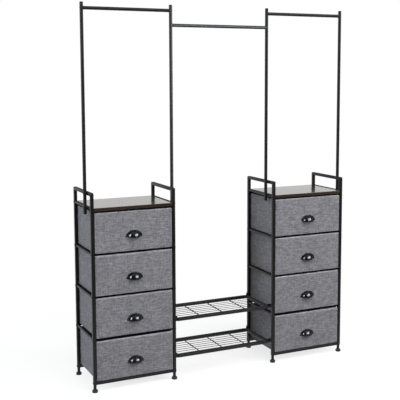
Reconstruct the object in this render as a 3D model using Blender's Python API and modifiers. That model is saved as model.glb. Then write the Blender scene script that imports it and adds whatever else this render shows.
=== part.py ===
"""Clothes rack: two four-drawer dressers joined by wire shelves, with tall posts and three hanging rods.

Metres, +Z up, front towards -Y. The origin is on the floor, in the middle of the whole rack.
Run with: blender --background --python part.py
"""

import math

import bmesh
import bpy
from mathutils import Matrix, Vector

# Driving dimensions: the rack as a whole
TOTAL_HEIGHT = 1.800  # floor to the top of the posts
DRESSER_WIDTH = 0.418  # over the outer faces of one dresser's side frames
MIDDLE_GAP = 0.535  # between the two dressers
FRAME_DEPTH = 0.275  # over the front and back legs
BOARD_HEIGHT = 0.8685  # floor to the top of the board
HANDLE_RISE = 0.0695  # top of the handle bar above the board

# Side frames
LEG_TUBE = 0.015  # square tube of the legs and the handle bar
HANDLE_CORNER = 0.006  # outer radius where leg and handle bar meet
SIDE_RAIL = 0.010  # square tube of the side rails between the drawers
TOP_SIDE_RAIL_HEIGHT = 0.010
TOP_SIDE_RAIL_DROP = 0.005  # top of that rail below the top of the board
TUBE_EDGE = 0.0012  # rounding along the edges of every square tube
LEG_BOTTOM = 0.036  # floor to the underside of legs and bottom rails

# Cross rails
DRAWER_RAIL = 0.008  # square tube between two drawers
TOP_RAIL_HEIGHT = 0.006
TOP_RAIL_DEPTH = 0.013
RAIL_WALL = 0.001

# Levelling feet
PAD_DIAMETER = 0.027
PAD_HEIGHT = 0.014
PAD_EDGE = 0.003
PAD_CHAMFER = 0.001  # round the underside
FERRULE_DIAMETER = 0.0146
STEM_DIAMETER = 0.008
STEM_LENGTH = 0.040  # above the pad
STEM_CLEARANCE = 0.0003  # round the stem in its socket

# Top boards and drawers
BOARD_THICKNESS = 0.015
BOARD_END_GAP = 0.0008
BOARD_SETBACK = 0.0005  # board edge behind the leg's face
BOARD_EDGE = 0.0012
DRAWER_COUNT = 4
LOWEST_BAY_EXTRA = 0.0045  # the lowest bay is this much higher than the others
BIN_SIDE_GAP = 0.0025  # between a bin and the side frame
BIN_TOP_GAP = 0.001  # between a bin and the rail above it
BIN_SETBACK = 0.002  # bin front behind the legs' front faces
BIN_BACK_INSET = 0.002  # bin back inside the legs' back faces
BIN_FRONT_WALL = 0.0095  # padded board behind the cloth
BIN_WALL = 0.0025
BIN_FLOOR = 0.004
BIN_CORNER = 0.0035

# Cup pulls
PULL_WIDTH = 0.083  # over the ears of the flange
PULL_FLANGE_HEIGHT = 0.034
PULL_FLANGE = 0.0018  # thickness of the flange
PULL_WALL = 0.0016
CUP_WIDTH = 0.062
CUP_HEIGHT = 0.031  # above the flange's lower edge
CUP_REACH = 0.022  # in front of the drawer
CUP_LIP = 0.004  # cup below the flange's lower edge
PULL_DROP = 0.028  # flange's lower edge below the middle of the drawer front
EAR_RADIUS = 0.004

# Posts and hanging rods
POST_DIAMETER = 0.016
POST_WALL = 0.0012
POST_PLUG = 0.003  # thickness of the plug that closes the top
PLUG_EDGE = 0.0025  # rounding of the plug
POST_LAP = 0.033  # foot of the posts below the top of the board
POST_FORWARD = 0.077  # post axis in front of the middle of the side frame
ROD_DIAMETER = 0.016
ROD_WALL = 0.0012
SIDE_ROD_DROP = 0.0275  # rod axis below the top of the posts
MIDDLE_ROD_DROP = 0.0955
BOLT_HOLE = 0.005

# Wire shelves
SHELF_TUBE = 0.019
SHELF_HEIGHTS = {"lower": 0.1067, "upper": 0.2897}  # to the axis of the tube loop
SHELF_SIDE_INSET = 0.0235  # loop axis inside the front and back faces of the legs
SHELF_END_INSET = 0.0125  # loop axis inside the legs' faces at each end
SHELF_BEND = 0.025  # radius of the bends, to the tube's axis
LUG = 0.0025  # thickness of the four corner lugs
LUG_HEIGHT = 0.017  # upwards from the tube's axis
LUG_WELD = 0.003  # depth of a lug's arm in the tube's bend
LUG_FRONT_INSET = 0.001  # lug inside the outer face of its leg
LONG_WIRE = 0.003
LONG_WIRE_COUNT = 7
CROSS_WIRE = 0.005
CROSS_WIRE_COUNT = 3
CROSS_WIRE_RISE = 0.0036  # cross wire axis above the tube's axis
WIRE_WELD = 0.0004  # overlap of two welded wires

SEAT = 0.0003  # gap between pieces that touch

# Worked out from the sizes above
LEG_Y = FRAME_DEPTH / 2 - LEG_TUBE / 2  # leg axis from the middle of the frame
FRONT_REACH = FRAME_DEPTH / 2 - BIN_SETBACK + SEAT + CUP_REACH  # from the middle of the frames to the cups
BACK_REACH = LEG_Y + PAD_DIAMETER / 2
FRAME_Y = (FRONT_REACH - BACK_REACH) / 2  # middle of the side frames, so that the whole rack is centred
INNER_X = MIDDLE_GAP / 2  # inner face of an inner side frame
OUTER_X = INNER_X + DRESSER_WIDTH
DRESSER_X = INNER_X + DRESSER_WIDTH / 2
OPENING_WIDTH = DRESSER_WIDTH - 2 * LEG_TUBE
HANDLE_HEIGHT = BOARD_HEIGHT + HANDLE_RISE
POST_BOTTOM = BOARD_HEIGHT - POST_LAP
TOP_RAIL_TOP = BOARD_HEIGHT - BOARD_THICKNESS
BOTTOM_RAIL_TOP = LEG_BOTTOM + LEG_TUBE
CLEAR_HEIGHT = TOP_RAIL_TOP - TOP_RAIL_HEIGHT - BOTTOM_RAIL_TOP - (DRAWER_COUNT - 1) * DRAWER_RAIL
DRAWER_BAY = (CLEAR_HEIGHT - LOWEST_BAY_EXTRA) / DRAWER_COUNT  # clear height for each drawer
BIN_WIDTH = OPENING_WIDTH - 2 * BIN_SIDE_GAP
BIN_HEIGHT = DRAWER_BAY - SEAT - BIN_TOP_GAP
BIN_FRONT_Y = FRAME_Y - FRAME_DEPTH / 2 + BIN_SETBACK
BIN_BACK_Y = FRAME_Y + FRAME_DEPTH / 2 - BIN_BACK_INSET
POST_Y = FRAME_Y - POST_FORWARD
SIDE_ROD_Z = TOTAL_HEIGHT - SIDE_ROD_DROP
MIDDLE_ROD_Z = TOTAL_HEIGHT - MIDDLE_ROD_DROP
TOP_SIDE_RAIL_Z = BOARD_HEIGHT - TOP_SIDE_RAIL_DROP - TOP_SIDE_RAIL_HEIGHT / 2
HANDLE_Z = HANDLE_HEIGHT - LEG_TUBE / 2

TURNED_SIDES = 16
HOLE_SIDES = 8


def rail_levels():
    """Middle heights of the rails between the drawers, highest first."""
    bay_top = TOP_RAIL_TOP - TOP_RAIL_HEIGHT
    return [bay_top - DRAWER_BAY * n - DRAWER_RAIL * (n - 0.5) for n in range(1, DRAWER_COUNT)]


def drawer_floors():
    """Heights of the undersides of the drawers, highest first."""
    return [level + DRAWER_RAIL / 2 + SEAT for level in rail_levels()] + [BOTTOM_RAIL_TOP + SEAT]


# Helpers
def clear_scene():
    for obj in list(bpy.data.objects):
        bpy.data.objects.remove(obj, do_unlink=True)


def make_collection(name):
    collection = bpy.data.collections.new(name)
    bpy.context.scene.collection.children.link(collection)
    return collection


def make_material(name, colour, roughness, metallic=0.0):
    material = bpy.data.materials.new(name)
    material.use_nodes = True
    shader = material.node_tree.nodes["Principled BSDF"]
    shader.inputs["Base Color"].default_value = (*colour, 1.0)
    shader.inputs["Roughness"].default_value = roughness
    shader.inputs["Metallic"].default_value = metallic
    material.diffuse_color = (*colour, 1.0)
    return material


def object_from(mesh, name="shape"):
    obj = bpy.data.objects.new(name, mesh)
    bpy.context.scene.collection.objects.link(obj)
    return obj


def object_from_bmesh(bm, name="shape"):
    mesh = bpy.data.meshes.new(name)
    bm.to_mesh(mesh)
    bm.free()
    return object_from(mesh, name)


def bake(obj):
    """Replaces an object by a plain closed mesh of what its modifiers or its curve make."""
    bpy.context.view_layer.update()
    graph = bpy.context.evaluated_depsgraph_get()
    mesh = bpy.data.meshes.new_from_object(obj.evaluated_get(graph))
    mesh.transform(obj.matrix_world)
    bpy.data.objects.remove(obj, do_unlink=True)
    bm = bmesh.new()
    bm.from_mesh(mesh)
    bmesh.ops.remove_doubles(bm, verts=bm.verts, dist=0.00001)
    bm.to_mesh(mesh)
    bm.free()
    return object_from(mesh)


def combine(target, tool, operation):
    """Boolean of two closed shapes, baked; the tool is used up."""
    modifier = target.modifiers.new("combine", "BOOLEAN")
    modifier.operation = operation
    modifier.solver = "EXACT"
    modifier.object = tool
    result = bake(target)
    bpy.data.objects.remove(tool, do_unlink=True)
    return result


def box(size, centre, edge=0.0, edge_axis=None, segments=2):
    """A box; edge rounds its edges, all of them or only those along edge_axis."""
    bm = bmesh.new()
    bmesh.ops.create_cube(bm, size=1.0)
    bmesh.ops.scale(bm, vec=Vector(size), verts=bm.verts)
    if edge:
        chosen = [
            e
            for e in bm.edges
            if edge_axis is None or abs((e.verts[0].co - e.verts[1].co)[edge_axis]) > 0.5 * size[edge_axis]
        ]
        bmesh.ops.bevel(
            bm, geom=chosen, offset=edge, segments=segments, profile=0.5, affect="EDGES", material=-1
        )
    bmesh.ops.translate(bm, vec=Vector(centre), verts=bm.verts)
    return object_from_bmesh(bm)


def cylinder(radius, length, centre, axis, sides=TURNED_SIDES):
    bm = bmesh.new()
    bmesh.ops.create_cone(
        bm, cap_ends=True, segments=sides, radius1=radius, radius2=radius, depth=length
    )
    turn = Vector((0, 0, 1)).rotation_difference(Vector(axis)).to_matrix().to_4x4()
    bmesh.ops.transform(bm, matrix=Matrix.Translation(centre) @ turn, verts=bm.verts)
    return object_from_bmesh(bm)


def turned(profile, sides=TURNED_SIDES):
    """A solid of revolution about Z from (radius, height) points, given from the top down the outer side."""
    bm = bmesh.new()
    corners = [bm.verts.new((radius, 0, height)) for radius, height in profile]
    for first, second in zip(corners, corners[1:]):
        bm.edges.new((first, second))
    obj = object_from_bmesh(bm)
    screw = obj.modifiers.new("turn", "SCREW")
    screw.axis = "Z"
    screw.angle = math.tau
    screw.steps = screw.render_steps = sides
    screw.use_merge_vertices = True
    screw.merge_threshold = 0.00001
    return bake(obj)


def curve_object(points, cyclic, bevel, sides_setting):
    """A round tube or wire along the points."""
    curve = bpy.data.curves.new("tube", "CURVE")
    curve.dimensions = "3D"
    curve.bevel_depth = bevel
    curve.bevel_resolution = sides_setting
    curve.use_fill_caps = not cyclic
    for run in points:
        spline = curve.splines.new("POLY")
        spline.points.add(len(run) - 1)
        spline.use_cyclic_u = cyclic
        for point, place in zip(spline.points, run):
            point.co = (*place, 1.0)
    return bake(object_from(curve))


def flat_outline(loops, thickness):
    """A flat plate in the XY plane from closed outlines; the inner ones become holes."""
    curve = bpy.data.curves.new("outline", "CURVE")
    curve.dimensions = "2D"
    curve.fill_mode = "BOTH"
    curve.extrude = thickness / 2
    for loop in loops:
        spline = curve.splines.new("POLY")
        spline.points.add(len(loop) - 1)
        spline.use_cyclic_u = True
        for point, (x, y) in zip(spline.points, loop):
            point.co = (x, y, 0.0, 1.0)
    return bake(object_from(curve))


def arc(centre, radius, start, end, steps):
    """Points on an arc in a plane, angles in degrees."""
    angles = [math.radians(start + (end - start) * n / steps) for n in range(steps + 1)]
    return [(centre[0] + radius * math.cos(a), centre[1] + radius * math.sin(a)) for a in angles]


def finished_mesh(obj, name, smooth_angle=None):
    """Takes the mesh off a helper object, names it and shades its round faces."""
    mesh = obj.data
    mesh.name = name
    bpy.data.objects.remove(obj, do_unlink=True)
    if smooth_angle is not None:
        mesh.shade_smooth()
        mesh.set_sharp_from_angle(angle=math.radians(smooth_angle))
    return mesh


def place(mesh, name, material, collection, location=(0, 0, 0), parent=None):
    """Puts a copy of a mesh in the rack as its own named object."""
    obj = bpy.data.objects.new(name, mesh.copy())
    obj.data.name = name
    obj.data.materials.clear()
    obj.data.materials.append(material)
    collection.objects.link(obj)
    obj.location = location
    if parent:
        obj.parent = parent
        obj.matrix_parent_inverse = Matrix.Translation(parent.location).inverted()
    return obj


# Side frame, centred on its own leg plane with z measured from the floor
def side_frame_mesh():
    half = FRAME_DEPTH / 2
    inner = half - LEG_TUBE
    corner = HANDLE_CORNER
    outer_arch = arc((half - corner, HANDLE_HEIGHT - corner), corner, 0, 90, 4)
    outer_arch += arc((-half + corner, HANDLE_HEIGHT - corner), corner, 90, 180, 4)
    outline = [(half, LEG_BOTTOM), *outer_arch, (-half, LEG_BOTTOM), (-inner, LEG_BOTTOM)]
    outline += [(-inner, HANDLE_HEIGHT - LEG_TUBE), (inner, HANDLE_HEIGHT - LEG_TUBE), (inner, LEG_BOTTOM)]
    frame = flat_outline([outline], LEG_TUBE)
    frame.data.transform(Matrix(((0, 0, 1, 0), (1, 0, 0, 0), (0, 1, 0, 0), (0, 0, 0, 1))))

    rails = [(LEG_TUBE, TOP_SIDE_RAIL_HEIGHT, TOP_SIDE_RAIL_Z)]
    rails += [(SIDE_RAIL, SIDE_RAIL, level) for level in rail_levels()]
    for width, height, level in rails:
        size = (width, 2 * inner + LEG_TUBE, height)
        rail = box(size, (0, 0, level), edge=TUBE_EDGE, edge_axis=1, segments=1)
        frame = combine(frame, rail, "UNION")

    for side in (-1, 1):
        ferrule_top = LEG_BOTTOM + SEAT
        ferrule_length = ferrule_top - PAD_HEIGHT - SEAT
        middle = (0, side * LEG_Y, ferrule_top - ferrule_length / 2)
        frame = combine(frame, cylinder(FERRULE_DIAMETER / 2, ferrule_length, middle, (0, 0, 1), 16), "UNION")
        socket_radius = STEM_DIAMETER / 2 + STEM_CLEARANCE
        socket_middle = (0, side * LEG_Y, PAD_HEIGHT + STEM_CLEARANCE)
        socket = cylinder(socket_radius, 2 * STEM_LENGTH + 4 * STEM_CLEARANCE, socket_middle, (0, 0, 1), 12)
        frame = combine(frame, socket, "DIFFERENCE")
    return finished_mesh(frame, "side_frame", 40)


# Cross rails, centred on the origin and running along X
def rail_mesh(depth, height, name):
    length = OPENING_WIDTH - 2 * SEAT
    rail = box((length, depth, height), (0, 0, 0), edge=TUBE_EDGE, edge_axis=0)
    hollow = (length + LEG_TUBE, depth - 2 * RAIL_WALL, height - 2 * RAIL_WALL)
    return finished_mesh(combine(rail, box(hollow, (0, 0, 0)), "DIFFERENCE"), name, 40)


# Levelling foot with its origin at the middle of the pad's underside
def foot_mesh():
    radius, stem = PAD_DIAMETER / 2, STEM_DIAMETER / 2
    edge = [(radius - PAD_EDGE + x, y) for x, y in arc((0, PAD_HEIGHT - PAD_EDGE), PAD_EDGE, 90, 0, 2)]
    profile = [(0, PAD_HEIGHT + STEM_LENGTH), (stem, PAD_HEIGHT + STEM_LENGTH), (stem, PAD_HEIGHT)]
    profile += [*edge, (radius, PAD_CHAMFER), (radius - PAD_CHAMFER, 0), (0, 0)]
    return finished_mesh(turned(profile), "levelling_foot", 40)


# Top board
def board_mesh():
    size = (OPENING_WIDTH - 2 * BOARD_END_GAP, FRAME_DEPTH - 2 * BOARD_SETBACK, BOARD_THICKNESS)
    return finished_mesh(box(size, (0, 0, -BOARD_THICKNESS / 2), edge=BOARD_EDGE), "top_board", 40)


# Drawer bin with its origin at the middle of the lower edge of its front
def bin_mesh():
    depth = BIN_BACK_Y - BIN_FRONT_Y
    middle = (0, depth / 2, BIN_HEIGHT / 2)
    outside = box((BIN_WIDTH, depth, BIN_HEIGHT), middle, edge=BIN_CORNER, edge_axis=2, segments=3)
    inner_depth = depth - BIN_FRONT_WALL - BIN_WALL
    inner = (BIN_WIDTH - 2 * BIN_WALL, inner_depth, BIN_HEIGHT)
    centre = (0, BIN_FRONT_WALL + inner_depth / 2, BIN_HEIGHT / 2 + BIN_FLOOR)
    inside = box(inner, centre, edge=BIN_CORNER - BIN_WALL, edge_axis=2, segments=3)
    return finished_mesh(combine(outside, inside, "DIFFERENCE"), "drawer_bin", 40)


# Cup pull: a quarter dome open below, on an arched flange with an ear at each side
def flange_outline():
    """Half ellipse over a straight lower edge, with rounded ears."""
    half = PULL_WIDTH / 2
    start = math.degrees(math.asin(EAR_RADIUS / PULL_FLANGE_HEIGHT))
    arch = [(x * half, y * PULL_FLANGE_HEIGHT) for x, y in arc((0, 0), 1, start, 180 - start, 12)]
    ear_x = half - EAR_RADIUS
    ear = arc((ear_x, EAR_RADIUS), EAR_RADIUS, -90, -30, 2)
    return ear + arch + [(-x, y) for x, y in reversed(ear)]


def ellipsoid(half_width, reach, height):
    bm = bmesh.new()
    bmesh.ops.create_uvsphere(bm, u_segments=20, v_segments=12, radius=1.0)
    bmesh.ops.scale(bm, vec=(half_width, reach, height), verts=bm.verts)
    return object_from_bmesh(bm)


def cup_shell():
    """Front quarter of a hollow ellipsoid, with a short straight lip below its middle."""
    outside = ellipsoid(CUP_WIDTH / 2, CUP_REACH, CUP_HEIGHT)
    inside = ellipsoid(CUP_WIDTH / 2 - PULL_WALL, CUP_REACH - PULL_WALL, CUP_HEIGHT - PULL_WALL)
    shell = combine(outside, inside, "DIFFERENCE")
    height = CUP_HEIGHT + CUP_LIP + PULL_WALL
    keep = box((2 * CUP_WIDTH, 2 * CUP_REACH, height), (0, -CUP_REACH, height / 2 - CUP_LIP))
    return combine(shell, keep, "INTERSECT")


def pull_mesh():
    """The hollow of the cup goes through the flange, so that its rim is a band round the cup."""
    half_width = CUP_WIDTH / 2 - PULL_WALL * 0.6
    height = CUP_HEIGHT - PULL_WALL * 0.6
    hole = [(x * half_width, y * height) for x, y in arc((0, 0), 1, 0, 180, 12)]
    hole = [(half_width, -PULL_FLANGE), *hole, (-half_width, -PULL_FLANGE)]
    flange = flat_outline([flange_outline()], PULL_FLANGE)
    cut = flat_outline([hole], 3 * PULL_FLANGE)
    flange = combine(flange, cut, "DIFFERENCE")
    upright = Matrix.Translation((0, -PULL_FLANGE / 2, 0)) @ Matrix.Rotation(math.pi / 2, 4, "X")
    flange.data.transform(upright)
    return finished_mesh(combine(cup_shell(), flange, "UNION"), "cup_pull", 35)


# Posts and rods
def post_mesh(hole_heights):
    """Round tube with a plugged top and bolt holes through it along X; z is measured from the floor."""
    radius, bore = POST_DIAMETER / 2, POST_DIAMETER / 2 - POST_WALL
    top = TOTAL_HEIGHT
    rounding = arc((radius - PLUG_EDGE, top - PLUG_EDGE), PLUG_EDGE, 90, 0, 3)
    profile = [(0, top), *rounding, (radius, POST_BOTTOM), (bore, POST_BOTTOM)]
    profile += [(bore, top - POST_PLUG), (0, top - POST_PLUG)]
    post = turned(profile)
    for height in hole_heights:
        hole = cylinder(BOLT_HOLE / 2, 2 * POST_DIAMETER, (0, 0, height), (1, 0, 0), HOLE_SIDES)
        post = combine(post, hole, "DIFFERENCE")
    return finished_mesh(post, "post", 40)


def rod_mesh(span, name):
    """Hollow rod along X whose ends are cut to seat round the two posts; span is between the posts' axes."""
    rod = cylinder(ROD_DIAMETER / 2, span, (0, 0, 0), (1, 0, 0))
    rod = combine(rod, cylinder(ROD_DIAMETER / 2 - ROD_WALL, 2 * span, (0, 0, 0), (1, 0, 0)), "DIFFERENCE")
    for side in (-1, 1):
        seat = cylinder(POST_DIAMETER / 2 + SEAT, 2 * ROD_DIAMETER, (side * span / 2, 0, 0), (0, 0, 1), 24)
        rod = combine(rod, seat, "DIFFERENCE")
    return finished_mesh(rod, name, 40)


# Wire shelf, centred on the origin, with z = 0 on the axis of its tube loop
def shelf_loop(half_x, half_y):
    path = []
    for sign_x, sign_y, start in ((1, 1, 0), (-1, 1, 90), (-1, -1, 180), (1, -1, 270)):
        centre = (sign_x * (half_x - SHELF_BEND), sign_y * (half_y - SHELF_BEND))
        path += [(x, y, 0.0) for x, y in arc(centre, SHELF_BEND, start, start + 90, 4)]
    return curve_object([path], True, SHELF_TUBE / 2, 4)


def shelf_lug(half_x, half_y, sign_x, sign_y):
    """Angle bracket from the loop to the leg: a plate on the leg's face and an arm into the bend."""
    diagonal = (SHELF_BEND + SHELF_TUBE / 2) * math.sqrt(0.5)
    arm_x = half_x - SHELF_BEND + diagonal - LUG_WELD
    arm_y = half_y - SHELF_BEND + diagonal - LUG / 2
    face_x = INNER_X - SEAT
    end_y = FRAME_DEPTH / 2 - LUG_FRONT_INSET
    outline = [(face_x, end_y), (face_x, arm_y), (arm_x, arm_y), (arm_x, arm_y + LUG)]
    outline += [(face_x - LUG, arm_y + LUG), (face_x - LUG, end_y)]
    lug = flat_outline([[(sign_x * x, sign_y * y) for x, y in outline]], LUG_HEIGHT)
    lug.data.transform(Matrix.Translation((0, 0, LUG_HEIGHT / 2)))
    return lug


def shelf_wires(half_x, half_y):
    """The cross wires lie on the long wires; both end inside the tube."""
    long_z = CROSS_WIRE_RISE - (CROSS_WIRE + LONG_WIRE) / 2 + WIRE_WELD
    pitch = 2 * half_y / (LONG_WIRE_COUNT + 1)
    rows = [-half_y + pitch * (n + 1) for n in range(LONG_WIRE_COUNT)]
    long_runs = [[(-half_x, y, long_z), (half_x, y, long_z)] for y in rows]
    pitch = 2 * half_x / (CROSS_WIRE_COUNT + 1)
    columns = [-half_x + pitch * (n + 1) for n in range(CROSS_WIRE_COUNT)]
    cross_runs = [[(x, -half_y, CROSS_WIRE_RISE), (x, half_y, CROSS_WIRE_RISE)] for x in columns]
    long_wires = curve_object(long_runs, False, LONG_WIRE / 2, 1)
    return combine(long_wires, curve_object(cross_runs, False, CROSS_WIRE / 2, 2), "UNION")


def shelf_mesh():
    half_x = INNER_X - SHELF_END_INSET
    half_y = FRAME_DEPTH / 2 - SHELF_SIDE_INSET
    shelf = combine(shelf_loop(half_x, half_y), shelf_wires(half_x, half_y), "UNION")
    for sign_x in (-1, 1):
        for sign_y in (-1, 1):
            shelf = combine(shelf, shelf_lug(half_x, half_y, sign_x, sign_y), "UNION")
    return finished_mesh(shelf, "wire_shelf", 40)


# Assembly
def build_dresser(side, name, meshes, materials, rack):
    """One dresser; side is -1 for the left one and 1 for the right one."""
    centre_x = side * DRESSER_X
    for place_name, x in (("outer", OUTER_X - LEG_TUBE / 2), ("inner", INNER_X + LEG_TUBE / 2)):
        frame_x = side * x
        spot = (frame_x, FRAME_Y, 0)
        place(meshes["side_frame"], f"{name}_{place_name}_side_frame", materials["steel"], rack, spot)
        for end, sign in (("front", -1), ("back", 1)):
            spot = (frame_x, FRAME_Y + sign * LEG_Y, 0)
            place(meshes["foot"], f"{name}_{place_name}_{end}_foot", materials["plastic"], rack, spot)

    top_rail_inset = FRAME_DEPTH / 2 - TOP_RAIL_DEPTH / 2 - BOARD_SETBACK
    for end, sign in (("front", -1), ("back", 1)):
        y = FRAME_Y + sign * LEG_Y
        spot = (centre_x, FRAME_Y + sign * top_rail_inset, TOP_RAIL_TOP - TOP_RAIL_HEIGHT / 2 - SEAT)
        place(meshes["top_rail"], f"{name}_top_{end}_rail", materials["steel"], rack, spot)
        for number, level in enumerate(rail_levels(), start=1):
            spot = (centre_x, y, level)
            place(meshes["drawer_rail"], f"{name}_{end}_rail_{number}", materials["steel"], rack, spot)
        spot = (centre_x, y, LEG_BOTTOM + LEG_TUBE / 2)
        place(meshes["bottom_rail"], f"{name}_bottom_{end}_rail", materials["steel"], rack, spot)

    place(meshes["board"], f"{name}_top_board", materials["board"], rack, (centre_x, FRAME_Y, BOARD_HEIGHT))

    for number, floor_z in enumerate(drawer_floors(), start=1):
        spot = (centre_x, BIN_FRONT_Y, floor_z)
        drawer = place(meshes["bin"], f"{name}_drawer_{number}_bin", materials["fabric"], rack, spot)
        grip = (centre_x, BIN_FRONT_Y - SEAT, floor_z + BIN_HEIGHT / 2 - PULL_DROP)
        place(meshes["pull"], f"{name}_drawer_{number}_pull", materials["gunmetal"], rack, grip, drawer)


def build_hanging_frame(materials, rack):
    """Four posts on the frames' faces and the three rods between them."""
    offset = POST_DIAMETER / 2 + SEAT
    posts = {
        "left_outer": -OUTER_X - offset,
        "left_inner": -INNER_X + offset,
        "right_inner": INNER_X - offset,
        "right_outer": OUTER_X + offset,
    }
    post = post_mesh([SIDE_ROD_Z, MIDDLE_ROD_Z, HANDLE_Z, TOP_SIDE_RAIL_Z])
    for name, x in posts.items():
        place(post, f"{name}_post", materials["steel"], rack, (x, POST_Y, 0))
    rods = (
        ("left_hanging_rod", "left_outer", "left_inner", SIDE_ROD_Z),
        ("middle_hanging_rod", "left_inner", "right_inner", MIDDLE_ROD_Z),
        ("right_hanging_rod", "right_inner", "right_outer", SIDE_ROD_Z),
    )
    for name, first, last, height in rods:
        start, end = posts[first], posts[last]
        spot = ((start + end) / 2, POST_Y, height)
        place(rod_mesh(end - start, name), name, materials["steel"], rack, spot)


def main():
    clear_scene()
    rack = make_collection("clothes_rack")
    materials = {
        "steel": make_material("black_powder_coat", (0.018, 0.018, 0.020), 0.45, 0.3),
        "plastic": make_material("black_plastic", (0.015, 0.015, 0.016), 0.55),
        "board": make_material("dark_walnut_board", (0.085, 0.055, 0.038), 0.35),
        "fabric": make_material("grey_linen_fabric", (0.22, 0.22, 0.23), 0.95),
        "gunmetal": make_material("gunmetal", (0.03, 0.032, 0.035), 0.2, 0.9),
    }
    meshes = {
        "side_frame": side_frame_mesh(),
        "foot": foot_mesh(),
        "top_rail": rail_mesh(TOP_RAIL_DEPTH, TOP_RAIL_HEIGHT, "top_rail"),
        "drawer_rail": rail_mesh(DRAWER_RAIL, DRAWER_RAIL, "drawer_rail"),
        "bottom_rail": rail_mesh(LEG_TUBE, LEG_TUBE, "bottom_rail"),
        "board": board_mesh(),
        "bin": bin_mesh(),
        "pull": pull_mesh(),
    }
    build_dresser(-1, "left", meshes, materials, rack)
    build_dresser(1, "right", meshes, materials, rack)
    build_hanging_frame(materials, rack)
    shelf = shelf_mesh()
    for name, height in SHELF_HEIGHTS.items():
        place(shelf, f"{name}_shelf", materials["steel"], rack, (0, FRAME_Y, height))


main()
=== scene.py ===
# %% [markdown]
# # Dressing a clothes rack
# The construction model already gives every piece of this rack its true size and place: two narrow dressers
# in black tube frames, wire shelves between them, four tall posts and three hanging rods. This lesson gives
# the rack its looks. We load that model as a fixed frame, set up a plain studio, mix the finishes, and then
# model the pieces that need more form, such as the fabric drawers and the cup pulls.

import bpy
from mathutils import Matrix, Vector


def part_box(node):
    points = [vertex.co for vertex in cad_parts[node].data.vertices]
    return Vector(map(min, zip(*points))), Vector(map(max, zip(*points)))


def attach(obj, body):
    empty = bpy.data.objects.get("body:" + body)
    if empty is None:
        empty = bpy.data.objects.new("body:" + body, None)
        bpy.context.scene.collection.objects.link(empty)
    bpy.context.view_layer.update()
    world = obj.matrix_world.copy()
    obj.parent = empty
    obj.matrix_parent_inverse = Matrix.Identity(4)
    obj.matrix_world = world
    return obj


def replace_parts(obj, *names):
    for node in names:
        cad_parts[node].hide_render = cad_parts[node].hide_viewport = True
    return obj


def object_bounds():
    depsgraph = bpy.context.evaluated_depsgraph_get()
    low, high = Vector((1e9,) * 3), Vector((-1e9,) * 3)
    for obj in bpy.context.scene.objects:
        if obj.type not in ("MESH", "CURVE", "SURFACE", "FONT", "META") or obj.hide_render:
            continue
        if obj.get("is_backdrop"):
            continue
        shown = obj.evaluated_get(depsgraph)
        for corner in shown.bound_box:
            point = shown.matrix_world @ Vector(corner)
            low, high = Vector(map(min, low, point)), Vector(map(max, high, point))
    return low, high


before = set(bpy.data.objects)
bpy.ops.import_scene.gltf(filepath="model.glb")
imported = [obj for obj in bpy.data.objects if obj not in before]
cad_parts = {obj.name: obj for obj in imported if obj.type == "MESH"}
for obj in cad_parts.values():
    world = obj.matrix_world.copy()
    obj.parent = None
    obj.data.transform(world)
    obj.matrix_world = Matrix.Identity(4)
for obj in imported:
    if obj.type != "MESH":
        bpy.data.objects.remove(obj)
cad_low, cad_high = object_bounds()
print("pieces in the frame:", len(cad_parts))

# %% Blender's own modules, and the frame's box
import math

import bmesh
import bpy
from bmesh.types import BMEdge, BMVert
from mathutils import Matrix, Vector, noise

scene = bpy.context.scene
print("the rack's box:", [round(high - low, 3) for low, high in zip(cad_low, cad_high)])

# %% [markdown]
# ## The camera
# The photograph was taken from the left, a little above the drawers, with the picture window moved down so
# far that the posts stay upright. A camera's shift moves its window. We move it down only a little, because
# every other view keeps the shift and would lose the tops of the posts, and tilt the camera for the rest, so
# the posts lean by a pixel or two. The place and the angles come from matching the corners of the rack, and
# the lens is given in pixels, for a picture 400 pixels wide.

# %% Camera
PICTURE = 400
FOCAL_PIXELS = 823.26
CAMERA_PLACE = Vector((-1.7966, -3.6905, 1.4590))
CAMERA_YAW = math.radians(24.989)
CAMERA_PITCH = math.radians(6.271)
CAMERA_ROLL = math.radians(-0.202)
WINDOW_DROP = 32  # pixels

camera_data = bpy.data.cameras.new("camera")
camera_data.sensor_width = 36.0
camera_data.lens = FOCAL_PIXELS / PICTURE * camera_data.sensor_width
camera_data.shift_y = -WINDOW_DROP / PICTURE
camera_data.clip_start = 0.05
camera = bpy.data.objects.new("camera", camera_data)
aim = Matrix.Rotation(-CAMERA_YAW, 4, "Z") @ Matrix.Rotation(math.pi / 2 - CAMERA_PITCH, 4, "X")
camera.matrix_world = Matrix.Translation(CAMERA_PLACE) @ aim @ Matrix.Rotation(CAMERA_ROLL, 4, "Z")
scene.collection.objects.link(camera)
scene.camera = camera
print("lens:", round(camera_data.lens, 1), "mm")

# %% [markdown]
# ## Shader maths as Python
# Placing Math nodes by hand hides the idea behind the wiring, so we wrap an output socket in a small class
# with Python's operators: an expression on two wires adds the nodes that it stands for. Any other node comes
# from one method, which sets the node up before it links its inputs.

# %% A wire, and a recipe for one material
def set_stops(ramp, stops):
    for extra in range(len(stops) - 2):
        ramp.elements.new(0.5)
    for element, (position, colour) in zip(ramp.elements, stops):
        element.position = position
        element.color = (*colour, 1.0)


def add_node(tree, kind, settings, inputs, output=0):
    """Adds a node, sets it up, fills or links its inputs, and gives back one output."""
    made = tree.nodes.new(kind)
    for setting, value in settings.items():
        if setting == "stops":
            set_stops(made.color_ramp, value)
        else:
            setattr(made, setting, value)
    for key, value in inputs.items():
        if isinstance(value, bpy.types.NodeSocket):
            tree.links.new(value, made.inputs[key])
        else:
            made.inputs[key].default_value = value
    return made.outputs[output]


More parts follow.
